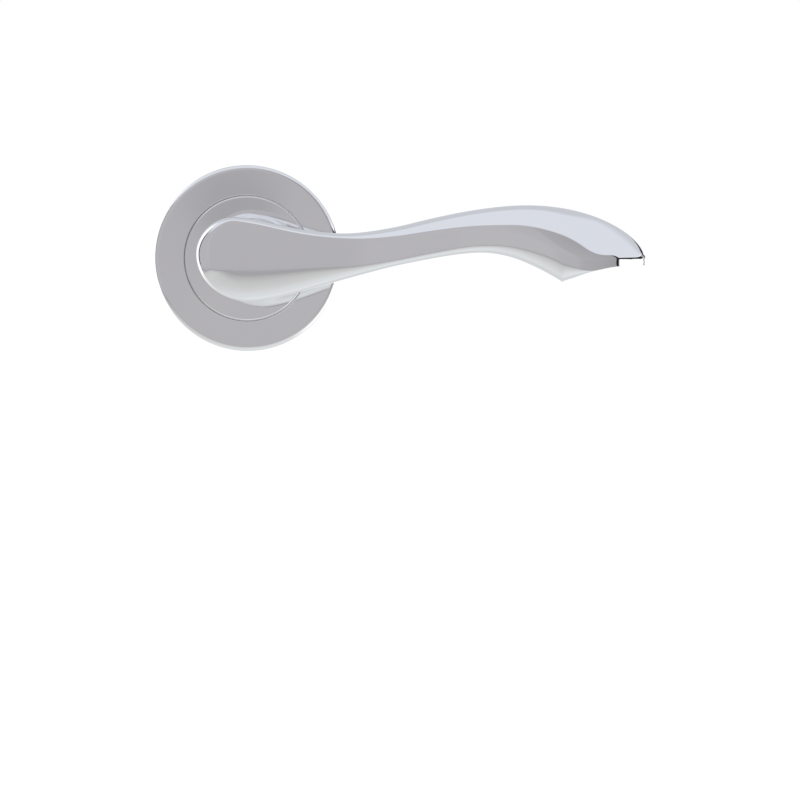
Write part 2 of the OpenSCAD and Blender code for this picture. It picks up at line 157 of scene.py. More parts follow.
# Seen from above, the end is half a superellipse, which stops a hair short of the CAD's tip
END_START, END_GAP, END_POWER = 89.0, 0.02, 2.2
END_LENGTH = TIP_X - END_GAP - END_START
BOSS_Z = 1.0                            # middle height of the boss over the neck
BOSS_LEFT = -lever_low.x
UPPER_ARC = (-1.0, 9.6)                 # the boss's outline: centre x and height of its upper quarter ellipse
LOWER_ARC = (3.0, 12.05)                # and of its lower one
BOSS_LEFT_ROLL = 3.4                    # how far its left edge is rounded in
LEFT_DROP = 1.6                         # and how much lower the roll begins there
# The share of the half depth that each rounding takes: the crown, the boss's left edge, and the roll
CROWN_SHARE, LEFT_SHARE, ROLL_SHARE = 0.78, 0.42, 0.55
ROLL_POWER = 2.6                        # above 2, so that the roll begins gently
# The crown runs smoothly into the side, but towards the tip it meets it at an edge, which begins softly
CROWN_POWER = [(-4, 2.0), (70, 2.0), (80, 1.8), (88, 1.4), (92, 1.2), (106, 1.2)]
EDGE_EASE = [(-4, 0.0), (82, 0.0), (91, 0.8), (106, 0.9)]
NECK_ROOT_R, NECK_TOP_R, NECK_TOP_DEPTH = 10.2, 8.6, 47.3
NECK_SUNK = 2.0                         # how far the neck runs on into the grip
FILLET_LEFT, FILLET_RIGHT = 1.0, 2.8    # between the neck and the grip
FILLET_CHANGE = 12.0                    # the length along x over which one becomes the other
STEP = 0.1                              # spacing of the outline tables


def smooth_curve(knots, x, blur=1.6):
    """A curve through knots, sampled at x and blurred a little so that reflections run evenly along it."""
    k = np.array(knots, float)
    i = np.clip(np.searchsorted(k[:, 0], x, side="right") - 1, 0, len(k) - 2)
    before, after = np.maximum(i - 1, 0), np.minimum(i + 2, len(k) - 1)
    h = k[i + 1, 0] - k[i, 0]
    start = (k[i + 1, 1] - k[before, 1]) / (k[i + 1, 0] - k[before, 0])
    end = (k[after, 1] - k[i, 1]) / (k[after, 0] - k[i, 0])
    t = np.clip((x - k[i, 0]) / h, 0, 1)
    y = ((2 * t**3 - 3 * t**2 + 1) * k[i, 1] + (t**3 - 2 * t**2 + t) * h * start
         + (3 * t**2 - 2 * t**3) * k[i + 1, 1] + (t**3 - t**2) * h * end)
    reach = int(4 * blur / STEP)
    weights = np.exp(-0.5 * (np.arange(-reach, reach + 1) * STEP / blur) ** 2)
    return np.convolve(np.pad(y, reach, mode="edge"), weights / weights.sum(), mode="valid")


def soft_max(a, b, k):
    """The larger of two values, rounded where they cross."""
    return np.maximum(a, b) + np.maximum(k - np.abs(a - b), 0) ** 2 / (4 * k)


TABLE_X = np.arange(-4, TIP_X + 4, STEP)
TIP_BLUR, CUSP_BLUR, CUSP_ROUND, FOOT_BLUR = 0.3, 0.8, 0.35, 2.2
TIP_BEGINS, TIP_CHANGE = 96.0, 8.0
LEAST = 0.05                            # the least height of a rounding, which keeps divisions safe
FAR_OUT = 1.5                           # points further out than this count as this far
ROLL_BELOW_FOOT = 0.2                   # the roll begins at least this far below the crown's foot
BOSS_BLEND = 1.5                        # softens the change between the sizes of the boss's roundings


def outline_tables():
    # The tip is tighter than the usual blur, so it gets less
    at_tip = np.clip((TABLE_X - TIP_BEGINS) / TIP_CHANGE, 0, 1)
    crest = (1 - at_tip) * smooth_curve(CREST, TABLE_X) + at_tip * smooth_curve(CREST, TABLE_X, TIP_BLUR)
    underside = soft_max(smooth_curve(BELLY, TABLE_X, CUSP_BLUR), smooth_curve(UNDERCUT, TABLE_X, CUSP_BLUR),
                         CUSP_ROUND)
    return {
        "top": crest,
        "bottom": underside,
        "foot": smooth_curve(CROWN_FOOT, TABLE_X, FOOT_BLUR),
        "roll": smooth_curve(ROLL_TOP, TABLE_X),
        "depth": smooth_curve(HALF_DEPTH, TABLE_X),
        "crown_power": smooth_curve(CROWN_POWER, TABLE_X, FOOT_BLUR),
        "edge_ease": smooth_curve(EDGE_EASE, TABLE_X, FOOT_BLUR),
    }


TABLES = outline_tables()


def table(name, x):
    """A value of an outline table at x, on a smooth curve through its entries."""
    values = TABLES[name]
    f = np.clip((x - TABLE_X[0]) / STEP, 1, len(TABLE_X) - 3)
    i = f.astype(int)
    t = f - i
    a, b, c, d = values[i - 1], values[i], values[i + 1], values[i + 2]
    return b + 0.5 * t * (c - a + t * (2 * a - 5 * b + 4 * c - d + t * (3 * (b - c) + d - a)))


def ease(t):
    t = np.clip(t, 0, 1)
    return t * t * (3 - 2 * t)


def boss_reach(left, up):
    """Distance from the boss's middle to its outline, in the unit direction (-left, up)."""
    def along(arc_x, height):
        width = BOSS_LEFT + arc_x
        a = (left / width) ** 2 + (up / height) ** 2
        b = left * arc_x / width**2
        c = (arc_x / width) ** 2 - 1
        return (-b + np.sqrt(np.maximum(b * b - a * c, 0))) / a
    return np.where(up > 0, along(*UPPER_ARC), along(*LOWER_ARC))


def plan_radii(x, side):
    """How far out a point is, seen from above, as a share of the half depth at x and of the whole outline."""
    along = np.maximum(x - END_START, 0) / END_LENGTH
    across = side / table("depth", x)
    half_depth = np.maximum(1 - along**END_POWER, 1e-4) ** (1 / END_POWER)
    return across / half_depth, (along**END_POWER + across**END_POWER) ** (1 / END_POWER)


def corner(out, share, over, size, power=2.0):
    """A rounded corner between a side, where out reaches 1, and a top, where over reaches size."""
    across = np.maximum(np.minimum(out, FAR_OUT) - (1 - share), 0) / share
    return (across**power + (np.maximum(over, 0) / size) ** power) ** (1 / power)


def grip_field(p):
    """Below 0 inside the grip, 0 on its surface and above 0 outside. Each row of p is x, depth, z."""
    x, z = p[:, 0], p[:, 2]
    side = np.abs(p[:, 1] - GRIP_DEPTH)
    xs = np.maximum(x, 0)
    top, foot, roll, bottom = (table(n, xs) for n in ("top", "foot", "roll", "bottom"))
    roll = np.minimum(roll, foot - ROLL_BELOW_FOOT)
    out, outline = plan_radii(xs, side)
    # Right of the axis: a crown above and a roll below, on upright sides
    soft = np.maximum(table("edge_ease", xs), 0)    # how softly the crown's edge begins
    over, height = (np.sqrt(np.maximum(v, 0) ** 2 + soft**2) - soft for v in (z - foot, top - foot))
    crown = corner(out, CROWN_SHARE, over, np.maximum(height, LEAST), table("crown_power", xs))
    rolled = corner(outline, ROLL_SHARE, roll - z, np.maximum(roll - bottom, LEAST), ROLL_POWER)
    right = np.maximum(np.maximum(crown, rolled), outline)
    # Left of the axis: the boss, with its rounding changing evenly round its outline
    radius = np.maximum(np.hypot(np.minimum(x, 0), z - BOSS_Z), 0.01)
    left, up = -np.minimum(x, 0) / radius, (z - BOSS_Z) / radius
    turn = np.arctan2(left, up) / math.pi           # 0 at the top, 1 at the bottom
    first, second = ease(2 * turn), ease(2 * turn - 1)
    reach = boss_reach(left, up)
    # Keeps the roll's upper edge level, but LEFT_DROP lower on the far left
    below = reach - (BOSS_Z - roll + LEFT_DROP * (1 - second)) / np.maximum(-up, LEAST)
    size = soft_max((top - foot) * (1 - first) + BOSS_LEFT_ROLL * first, below, BOSS_BLEND)
    share = CROWN_SHARE * (1 - first) + LEFT_SHARE * (first - second) + ROLL_SHARE * second
    boss = corner(out, share, radius - reach + size, size, 2 + (ROLL_POWER - 2) * second)
    return np.where(x < 0, boss, right) - 1


ON_SURFACE = 0.02                       # points this close to the surface are taken to be on it
SLOPE_STEP = 0.05                       # half the step over which the grip's slope is measured
NORMAL_STEP = 0.03                      # and the same for the whole lever's


def gradient(field, p, h):
    g = np.empty_like(p)
    for axis in range(3):
        step = np.zeros(3)
        step[axis] = h
        g[:, axis] = (field(p + step) - field(p - step)) / (2 * h)
    return g


def neck_radius(depth):
    t = (depth - COLLAR_FRONT) / (NECK_TOP_DEPTH - COLLAR_FRONT)
    return NECK_ROOT_R + (NECK_TOP_R - NECK_ROOT_R) * t


def lever_field(p):
    """About the distance to the grip and neck together, in millimetres, with a fillet where they meet."""
    # The slope is measured clear of the plane x = 0, where the field's two halves meet with a jump
    clear, beside = 1.1 * SLOPE_STEP, p.copy()
    beside[:, 0] = np.where(p[:, 0] < 0, np.minimum(p[:, 0], -clear), np.maximum(p[:, 0], clear))
    slope = np.linalg.norm(gradient(grip_field, beside, SLOPE_STEP), axis=1)
    grip = grip_field(p) / np.maximum(slope, 0.02)
    neck = np.hypot(p[:, 0], p[:, 2]) - neck_radius(p[:, 1])
    neck = np.maximum(neck, p[:, 1] - NECK_TOP_DEPTH - NECK_SUNK)
    fillet = FILLET_LEFT + (FILLET_RIGHT - FILLET_LEFT) * ease(0.5 + p[:, 0] / FILLET_CHANGE)
    a, b = np.maximum(fillet - grip, 0), np.maximum(fillet - neck, 0)
    return np.maximum(fillet, np.minimum(grip, neck)) - np.hypot(a, b)


def surface_net(field, low, high, cell):
    """Quads over the surface where a field is 0, one vertex in each cell that the surface crosses."""
    axes = [np.arange(low[k], high[k] + cell, cell) for k in range(3)]
    shape = tuple(len(a) for a in axes)
    grid = np.stack(np.meshgrid(*axes, indexing="ij"), -1).reshape(-1, 3)
    batches = 12                        # which spares memory
    value = np.concatenate([field(part) for part in np.array_split(grid, batches)]).reshape(shape)
    inside = value < 0
    total = np.zeros(tuple(s - 1 for s in shape) + (3,))
    count = np.zeros(tuple(s - 1 for s in shape))
    origin = np.stack(np.meshgrid(*[a[:-1] for a in axes], indexing="ij"), -1)
    for axis in range(3):
        for u in (0, 1):
            for v in (0, 1):
                others = [k for k in range(3) if k != axis]
                start, stop = [0, 0, 0], [s - 1 for s in shape]
                start[others[0]] += u
                stop[others[0]] += u
                start[others[1]] += v
                stop[others[1]] += v
                near = tuple(slice(a, b) for a, b in zip(start, stop))
                far = tuple(slice(part.start + (k == axis), part.stop + (k == axis))
                            for k, part in enumerate(near))
                crossed = inside[near] != inside[far]
                t = np.where(crossed, value[near] / np.where(crossed, value[near] - value[far], 1), 0)
                place = np.zeros(total.shape)
                place[..., axis] = t * cell
                place[..., others[0]] = u * cell
                place[..., others[1]] = v * cell
                total += np.where(crossed[..., None], origin + place, 0)
                count += crossed
    used = count > 0
    number = np.full(count.shape, -1)
    number[used] = np.arange(used.sum())
    points = total[used] / count[used][:, None]
    faces = []
    for axis in range(3):
        u, v = (axis + 1) % 3, (axis + 2) % 3
        near, far = [slice(None)] * 3, [slice(None)] * 3
        near[axis], far[axis] = slice(0, -1), slice(1, None)
        cross = inside[tuple(near)] != inside[tuple(far)]
        i = np.argwhere(cross)
        i = i[(i[:, u] > 0) & (i[:, v] > 0) & (i[:, u] < shape[u] - 1) & (i[:, v] < shape[v] - 1)]
        one_u, one_v = np.eye(3, dtype=int)[u], np.eye(3, dtype=int)[v]
        cells = [i - one_u - one_v, i - one_v, i, i - one_u]
        quad = np.stack([number[tuple(c.T)] for c in cells], 1)
        flip = ~inside[tuple(i.T)]
        quad[flip] = quad[flip][:, ::-1]
        faces.append(quad)
    return points, np.vstack(faces)


def settle(field, points, rounds):
    """Moves points on to the surface."""
    for _ in range(rounds):
        g = gradient(field, points, NORMAL_STEP)
        points = points - (field(points) / np.maximum((g**2).sum(1), 1e-6))[:, None] * g
    return points


def open_edge(faces):
    """The points on the open edge of a mesh of quads."""
    edges = np.sort(np.vstack([faces[:, [k, (k + 1) % 4]] for k in range(4)]), axis=1)
    single, count = np.unique(edges, axis=0, return_counts=True)
    return np.unique(single[count == 1])


def relax(field, points, faces, fixed, rounds, pull=0.6):
    """Evens the quads out: each point moves towards its neighbours' middle, then back to the surface."""
    edges = np.vstack([faces[:, [k, (k + 1) % 4]] for k in range(4)])
    degree = np.bincount(edges.ravel(), minlength=len(points))
    held = points[fixed]
    for _ in range(rounds):
        total = np.zeros_like(points)
        np.add.at(total, edges[:, 0], points[edges[:, 1]])
        np.add.at(total, edges[:, 1], points[edges[:, 0]])
        points = points + pull * (total / degree[:, None] - points)
        points = settle(field, points, 1)
        points[fixed] = held
    return points


def true_normals(field, points):
    """Which way the surface faces at each point."""
    g = gradient(field, points, NORMAL_STEP)
    return g / np.maximum(np.linalg.norm(g, axis=1), 1e-9)[:, None]


def halve(triangle, middles):
    """The triangles left when a triangle's edges are cut at those middles that they have."""
    # It is turned until a cut edge comes first and, unless all are cut, an uncut one last
    for _ in range(3):
        a, b, c = triangle
        ab, bc, ca = (middles.get(frozenset(edge)) for edge in ((a, b), (b, c), (c, a)))
        if ab is not None and (ca is None or bc is not None):
            break
        triangle = (b, c, a)
    if ab is None:
        return [triangle]
    if bc is None:
        return [(a, ab, c), (ab, b, c)]
    if ca is None:
        return [(ab, b, bc), (a, ab, bc), (a, bc, c)]
    return [(a, ab, ca), (ab, b, bc), (ca, bc, c), (ab, bc, ca)]


def refine(field, points, faces, rounds, bend=7.0, shortest=0.1):
    """Makes triangles of quads, and halves the edges over which the surface turns by over bend degrees."""
    normals = true_normals(field, points)
    a, b, c, d = faces.T
    along_ac = (normals[a] * normals[c]).sum(1) > (normals[b] * normals[d]).sum(1)
    first = np.where(along_ac[:, None], np.stack([a, b, c], 1), np.stack([a, b, d], 1))
    second = np.where(along_ac[:, None], np.stack([a, c, d], 1), np.stack([b, c, d], 1))
    triangles = [tuple(t) for t in np.vstack([first, second]).tolist()]
    for _ in range(rounds):
        normals = true_normals(field, points)
        t = np.array(triangles)
        sides = np.sort(np.vstack([t[:, [0, 1]], t[:, [1, 2]], t[:, [2, 0]]]), axis=1)
        edges, count = np.unique(sides, axis=0, return_counts=True)
        a, b = edges.T
        bent = (normals[a] * normals[b]).sum(1) < math.cos(math.radians(bend))
        long_enough = np.linalg.norm(points[a] - points[b], axis=1) > shortest
        chosen = edges[bent & long_enough & (count == 2)]
        middles = {frozenset(edge): len(points) + i for i, edge in enumerate(chosen.tolist())}
        points = np.vstack([points, settle(field, points[chosen].mean(1), 2)])
        triangles = [made for triangle in triangles for made in halve(triangle, middles)]
    return points, triangles


# The neck's foot is turned, from JOIN down to its back end. Its key has two flats
JOIN = 38.0
SHOULDER, KEY_BACK, KEY_R, KEY_FLAT = 9.3, 7.1, 8.5, 7.7
JOURNAL_R, GROOVE_R, GROOVE_FRONT, GROOVE_BACK, JOURNAL_END = 7.5, 7.1, 1.3, 0.26, 0.05
SOCKET_HALF, SOCKET_DEPTH = 4.05, 36.0
TOOL_OVER = 2.0
GRUB_R, GRUB_DEPTH = 3.0, 24.0
GRUB_TOOL_Z, GRUB_TOOL_LENGTH = -8.0, 12.0


def foot_rows():
    """Rings of the neck's foot from JOIN to the back end, as (depth, radius, flat or None)."""
    ease_r = 0.3
    rows = [(d, neck_radius(d), None) for d in np.linspace(JOIN, COLLAR_FRONT, 45)[1:]]
    rows += [(SHOULDER + ease_r, NECK_ROOT_R, None), (SHOULDER, NECK_ROOT_R - ease_r, None)]
    rows += [(SHOULDER, KEY_R, KEY_FLAT), (KEY_BACK + ease_r, KEY_R, KEY_FLAT)]
    rows += [(KEY_BACK, KEY_R - ease_r, KEY_FLAT - ease_r), (KEY_BACK, JOURNAL_R, None)]
    rows += [(GROOVE_FRONT, JOURNAL_R, None), (GROOVE_FRONT, GROOVE_R, None), (GROOVE_BACK, GROOVE_R, None)]
    rows += [(GROOVE_BACK, JOURNAL_R, None), (JOURNAL_END + 0.1, JOURNAL_R, None)]
    rows += [(JOURNAL_END, JOURNAL_R - 0.1, None), (JOURNAL_END, SOCKET_HALF * 1.6, None)]
    return rows


def add_foot(points, faces, ring):
    """Carries the ring of points at JOIN down the neck's foot, and closes its back end."""
    angles = np.arctan2(points[ring, 2], points[ring, 0])
    ring, angles = ring[np.argsort(angles)], np.sort(angles)
    n = len(ring)
    points[ring] = np.column_stack([neck_radius(JOIN) * np.cos(angles), np.full(n, JOIN),
                                    neck_radius(JOIN) * np.sin(angles)])
    rings, made = [ring], [points]
    for depth, radius, flat in foot_rows():
        r = np.full(n, radius)
        if flat is not None:
            r = np.minimum(r, flat / np.maximum(np.abs(np.sin(angles)), 0.01))
        rings.append(len(np.vstack(made)) + np.arange(n))
        made.append(np.column_stack([r * np.cos(angles), np.full(n, depth), r * np.sin(angles)]))
    points = np.vstack(made + [[[0, JOURNAL_END, 0]]])
    faces = [tuple(f) for f in faces]
    for upper, lower in zip(rings, rings[1:]):
        faces += [(upper[i], upper[(i + 1) % n], lower[(i + 1) % n], lower[i]) for i in range(n)]
    faces += [(rings[-1][i], rings[-1][(i + 1) % n], len(points) - 1) for i in range(n)]
    return points, faces


def to_world(points):
    """From x, depth, z to the frame's axes."""
    return np.column_stack([points[:, 0], -points[:, 1], points[:, 2]])


def cut(piece, *tools):
    """Takes the tools' shapes out of a piece, and deletes the tools."""
    for tool in tools:
        change = piece.modifiers.new(tool.name, "BOOLEAN")
        change.operation, change.solver, change.object = "DIFFERENCE", "EXACT", tool
    evaluated = piece.evaluated_get(bpy.context.evaluated_depsgraph_get())
    mesh = bpy.data.meshes.new_from_object(evaluated)
    piece.modifiers.clear()
    piece.data = mesh
    for tool in tools:
        bpy.data.objects.remove(tool)


def make_tool(name, build):
    bm = bmesh.new()
    build(bm)
    mesh = bpy.data.meshes.new(name)
    bm.to_mesh(mesh)
    bm.free()
    tool = bpy.data.objects.new(name, mesh)
    bpy.context.scene.collection.objects.link(tool)
    return tool


def socket_tool():
    """A square bar that reaches TOOL_OVER out of the back of the neck."""
    width, length = 2 * SOCKET_HALF, SOCKET_DEPTH + TOOL_OVER
    middle = Matrix.Translation((0, (length / 2 - SOCKET_DEPTH) * MM, 0))
    place = middle @ Matrix.Diagonal((width * MM, length * MM, width * MM, 1))
    return make_tool("socket_tool", lambda bm: bmesh.ops.create_cube(bm, size=1, matrix=place))


def grub_hole_tool():
    """An upright rod from inside the socket down through the neck's wall."""
    radius, length = GRUB_R * MM, GRUB_TOOL_LENGTH * MM
    place = Matrix.Translation((0, -GRUB_DEPTH * MM, GRUB_TOOL_Z * MM))
    return make_tool("grub_hole_tool", lambda bm: bmesh.ops.create_cone(
        bm, cap_ends=True, segments=72, radius1=radius, radius2=radius, depth=length, matrix=place))


def set_true_normals(mesh):
    """Gives the grip and the neck the shading of their true surface. The foot and the holes keep theirs."""
    mesh.shade_smooth()
    mesh.set_sharp_from_angle(angle=math.radians(SHARP))
    co = np.empty(len(mesh.vertices) * 3)
    mesh.vertices.foreach_get("co", co)
    co = co.reshape(-1, 3) / MM
    p = np.column_stack([co[:, 0], -co[:, 1], co[:, 2]])
    clear_of_collar = p[:, 1] > COLLAR_FRONT + 0.01
    outside = (np.abs(lever_field(p)) < ON_SURFACE) & clear_of_collar
    normals = to_world(true_normals(lever_field, p))
    corners = np.empty(len(mesh.loops) * 3)
    mesh.corner_normals.foreach_get("vector", corners)
    corners = corners.reshape(-1, 3)
    for face in mesh.polygons:
        if all(outside[v] for v in face.vertices):
            for loop in face.loop_indices:
                corners[loop] = normals[mesh.loops[loop].vertex_index]
    mesh.normals_split_custom_set(corners.tolist())


def make_lever():
    cell, halvings = ((0.4, 3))
    # The net reaches a little past the lever on all sides but the back one, where it begins at JOIN
    low = np.array([lever_low.x - 1.3, JOIN - cell / 2, -13.0])
    high = np.array([TIP_X + 1.2, GRIP_DEPTH + 14, 15.0])

    def field(p):
        """The lever's field, with a straight neck where the net begins, which makes its edge an even ring."""
        q = p.copy()
        q[:, 1] = np.maximum(q[:, 1], low[1] + cell)
        return lever_field(q)

    points, faces = surface_net(field, low, high, cell)
    ring = open_edge(faces)
    points = settle(lever_field, points, 3)
    points = relax(lever_field, points, faces, ring, 3)
    points, faces = refine(lever_field, points, faces, halvings)
    points, faces = add_foot(points, faces, ring)
    lever = make_object("lever_casting", to_world(points), faces)
    cut(lever, socket_tool(), grub_hole_tool())
    set_true_normals(lever.data)
    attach(lever, "lever")
    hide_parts("lever")
    return lever


# ---------------------------------------------------------------- the cover and the collar, turned
TURNS = 288
COVER_ROUND, BACK_ROUND = 1.3, 0.4
COVER_WALL, COVER_FACE = 1.2, 1.4
OPENING_R = COLLAR_R + 0.3
COLLAR_SUNK = 0.25                      # how far its rim is sunk, to suit the dished cover
SHADE_BELOW_RIM = 0.6                            # below its rim by more than this, its skirt gets a near-black material: painted shade
DISH = math.radians(2.6)                # the cover's face and the collar's are dished by this slope
NOTCH_HALF, NOTCH_DEPTH, NOTCH_ROWS = 3.0, 1.2, 13
CLIP_GROOVE = (3.3, 4.3, 0.38)          # back, front and depth of the clip ring's groove in the cover's wall


def with_edge_loops(profile, gap=0.03, shortest=0.4):
    """Adds a point close to each end of every long side, so that flat faces shade flat up to their edges."""
    result = []
    for i, p in enumerate(profile):
        q = profile[(i + 1) % len(profile)]
        length = math.dist(p, q)
        result.append(p)
        if length > shortest:
            for t in (gap / length, 1 - gap / length):
                result.append((p[0] + (q[0] - p[0]) * t, p[1] + (q[1] - p[1]) * t))
    return result


def cover_profile():
    bore = ROSE_R - COVER_WALL
    back, front, sunk = CLIP_GROOVE
    lip = 0.3
    tilt = math.degrees(DISH)
    inner = ROSE_H - math.tan(DISH) * (ROSE_R - COVER_ROUND - OPENING_R - lip)
    profile = [(OPENING_R, ROSE_H - COVER_FACE)]
    profile += arc((OPENING_R + lip, inner - lip), lip, 180, 90 + tilt)
    profile += arc((ROSE_R - COVER_ROUND, ROSE_H - COVER_ROUND), COVER_ROUND, 90 + tilt, 0, 20)
    profile += arc((ROSE_R - BACK_ROUND, BACK_ROUND), BACK_ROUND, 0, -90)
    profile += [(bore, 0), (bore, back), (bore + sunk, back), (bore + sunk, front), (bore, front)]
    profile += arc((bore - 0.3, ROSE_H - COVER_FACE - 0.3), 0.3, 0, 90)
    return with_edge_loops(profile)


def make_rose_cover():
    """The cover, turned. Its notch has a double row of points at each end, which makes its ends steep."""
    notch_angle = math.asin(NOTCH_HALF / ROSE_R)
    down = -math.pi / 2
    step = 2 * math.pi / TURNS
    sliver = 0.0004                     # the angle between a double row's two
    angles = [down - notch_angle - sliver, down - notch_angle]
    angles += list(np.linspace(down - notch_angle, down + notch_angle, NOTCH_ROWS)[1:-1])
    angles += [down + notch_angle, down + notch_angle + sliver]
    angles += list(np.arange(down + notch_angle + step, down + 2 * math.pi - notch_angle - step / 2, step))
    points, faces = turned(cover_profile(), angles)
    n = len(points) // len(angles)
    notched = slice(n, n * (NOTCH_ROWS + 1))
    points[notched, 1] = np.minimum(points[notched, 1], -NOTCH_DEPTH)
    cover = make_object("rose_cover_shell", points, faces, SHARP)
    merge_doubles(cover.data)
    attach(cover, "cover")
    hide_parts("rose_cover")
    return cover


def make_neck_collar():
    wall, skirt, edge = 1.0, 1.0, 0.35
    rim = COLLAR_FRONT - COLLAR_SUNK
    inner = rim - math.tan(DISH) * (COLLAR_R - edge - NECK_ROOT_R)
    profile = [(NECK_ROOT_R + 0.02, COLLAR_FRONT - wall), (NECK_ROOT_R + 0.02, inner - 0.05),
               (NECK_ROOT_R + 0.07, inner)]
    profile += arc((COLLAR_R - edge, rim - edge), edge, 90 + math.degrees(DISH), 0)
    # A lip behind the cover's face shuts out the light that comes through the screw holes
    lip_r, lip = OPENING_R + 0.2, min(COLLAR_BACK + 0.5, ROSE_H - COVER_FACE - 0.1)
    profile += [(COLLAR_R, lip), (lip_r, lip), (lip_r, COLLAR_BACK), (COLLAR_R - skirt, COLLAR_BACK)]
    profile += arc((COLLAR_R - skirt - 0.3, COLLAR_FRONT - wall - 0.3), 0.3, 0, 90)
    angles = np.linspace(0, 2 * math.pi, TURNS, endpoint=False)
    points, faces = turned(with_edge_loops(profile), angles)
    collar = make_object("neck_collar_disc", points, faces, SHARP)
    for polygon in collar.data.polygons:    # below that its skirt gets the near-black material: painted shade for the gap behind the cover
        polygon.material_index = int(-polygon.center.y / MM < rim - SHADE_BELOW_RIM)
    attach(collar, "lever")
    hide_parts("neck_collar")
    return collar


# ---------------------------------------------------------------- materials
class Nodes:
    """Short calls for building a node tree."""

    def __init__(self, tree):
        self.tree = tree

    def add(self, kind, **values):
        node = self.tree.nodes.new(kind)
        for key, value in values.items():
            setattr(node, key, value)
        return node

    def link(self, source, target):
        if isinstance(source, (int, float, tuple)):
            target.default_value = source
        else:
            self.tree.links.new(source, target)

    def math(self, operation, a, b=0.0):
        node = self.add("ShaderNodeMath", operation=operation)
        self.link(a, node.inputs[0])
        self.link(b, node.inputs[1])
        return node.outputs[0]

    def ramp(self, value, low, high, stops):
        """A colour for each value, through stops of (value, grey or colour)."""
        node = self.add("ShaderNodeValToRGB")
        elements = node.color_ramp.elements
        while len(elements) < len(stops):
            elements.new(0.5)
        for element, (place, colour) in zip(elements, stops):
            element.position = (place - low) / (high - low)
            colour = colour if isinstance(colour, tuple) else (colour,) * 3
            element.color = (*colour, 1)
        self.link(self.scaled(value, (low, high), (0, 1)), node.inputs[0])
        return node.outputs[0]

    def band(self, value, limit, limits):
        """0 outside the outer two of four limits, and 1 between the inner two, for values up to limit."""
        low, rise, fall, high = limits
        stops = [(-limit, 0), (low, 0), (rise, 1), (fall, 1), (high, 0), (limit, 0)]
        return self.ramp(value, -limit, limit, stops)

    def mix(self, factor, a, b):
        node = self.add("ShaderNodeMix", data_type="RGBA")
        self.link(factor, node.inputs["Factor"])
        for value, name in ((a, "A"), (b, "B")):
            socket = [s for s in node.inputs if s.name == name and s.type == "RGBA"][0]
            if isinstance(value, tuple):
                socket.default_value = (*value, 1)
            else:
                self.tree.links.new(value, socket)
        return [s for s in node.outputs if s.type == "RGBA"][0]

    def times(self, a, b):
        """Two colours multiplied."""
        node = self.add("ShaderNodeMix", data_type="RGBA", blend_type="MULTIPLY")
        node.inputs["Factor"].default_value = 1.0
        colours = [s for s in node.inputs if s.type == "RGBA"]
        self.link(a, colours[0])
        self.link(b, colours[1])
        return [s for s in node.outputs if s.type == "RGBA"][0]

    def noise(self, scale, detail=3.0, stretch=(1, 1, 1)):
        where = self.add("ShaderNodeTexCoord")
        mapping = self.add("ShaderNodeMapping")
        mapping.inputs["Scale"].default_value = stretch
        self.link(where.outputs["Object"], mapping.inputs["Vector"])
        node = self.add("ShaderNodeTexNoise")
        node.inputs["Scale"].default_value = scale
        node.inputs["Detail"].default_value = detail
        self.link(mapping.outputs[0], node.inputs["Vector"])
        return node.outputs["Fac"]

    def scaled(self, value, source, target):
        """A value carried from one range to another, and held at the ends."""
        node = self.add("ShaderNodeMapRange")
        self.link(value, node.inputs["Value"])
        for name, number in zip(("From Min", "From Max", "To Min", "To Max"), (*source, *target)):
            node.inputs[name].default_value = number
        return node.outputs[0]

    def between(self, value, low, high):
        """A value that runs from low to high as noise runs from its usual lowest to its highest."""
        return self.scaled(value, (0.3, 0.7), (low, high))

    def bump(self, height, distance, strength=1.0, under=None):
        node = self.add("ShaderNodeBump")
        node.inputs["Strength"].default_value = strength
        node.inputs["Distance"].default_value = distance
        self.link(height, node.inputs["Height"])
        if under is not None:
            self.link(under, node.inputs["Normal"])
        return node.outputs[0]


def new_material(name):
    material = bpy.data.materials.new(name)
    material.use_nodes = True
    return material, Nodes(material.node_tree), material.node_tree.nodes["Principled BSDF"]


def polished_chrome():
    """Bright chromium plate on a polished casting: a mirror with a trace of haze and of polishing waves."""
    material, nodes, shader = new_material("polished_chrome")
    shader.inputs["Metallic"].default_value = 1.0
    haze = nodes.noise(220, 5)
    cloud = nodes.noise(38, 2)
    nodes.link(nodes.mix(cloud, (0.895, 0.900, 0.915), (0.925, 0.925, 0.930)), shader.inputs["Base Color"])
    nodes.link(nodes.between(haze, 0.015, 0.05), shader.inputs["Roughness"])
    waves = nodes.bump(nodes.noise(60, 1), 0.00001, 0.5)
    nodes.link(nodes.bump(nodes.noise(2500, 2), 0.0000004, 0.5, waves), shader.inputs["Normal"])
    return material


def metal(name, dark, light, roughness, grain, stretch=(1, 1, 1), relief=0.00001, metallic=1.0):
    """A plain metal: colour and roughness both vary with the grain, and the grain stands out a little."""
    material, nodes, shader = new_material(name)
    shader.inputs["Metallic"].default_value = metallic
    fine = nodes.noise(grain, 6, stretch)
    patches = nodes.noise(grain / 14, 3)
    nodes.link(nodes.mix(nodes.between(patches, 0.0, 1.0), dark, light), shader.inputs["Base Color"])
    nodes.link(nodes.between(fine, *roughness), shader.inputs["Roughness"])
    nodes.link(nodes.bump(fine, relief, 0.6), shader.inputs["Normal"])
    return material


def nylon():
    """Natural moulded nylon: milky, and a little matt."""
    material, nodes, shader = new_material("nylon")
    shader.inputs["Subsurface Weight"].default_value = 0.25
    shader.inputs["Subsurface Scale"].default_value = 0.002
    milk = nodes.mix(nodes.noise(160), (0.80, 0.79, 0.74), (0.86, 0.85, 0.81))
    nodes.link(milk, shader.inputs["Base Color"])
    nodes.link(nodes.between(nodes.noise(900), 0.36, 0.5), shader.inputs["Roughness"])
    nodes.link(nodes.bump(nodes.noise(1800), 0.00001, 0.4), shader.inputs["Normal"])
    return material


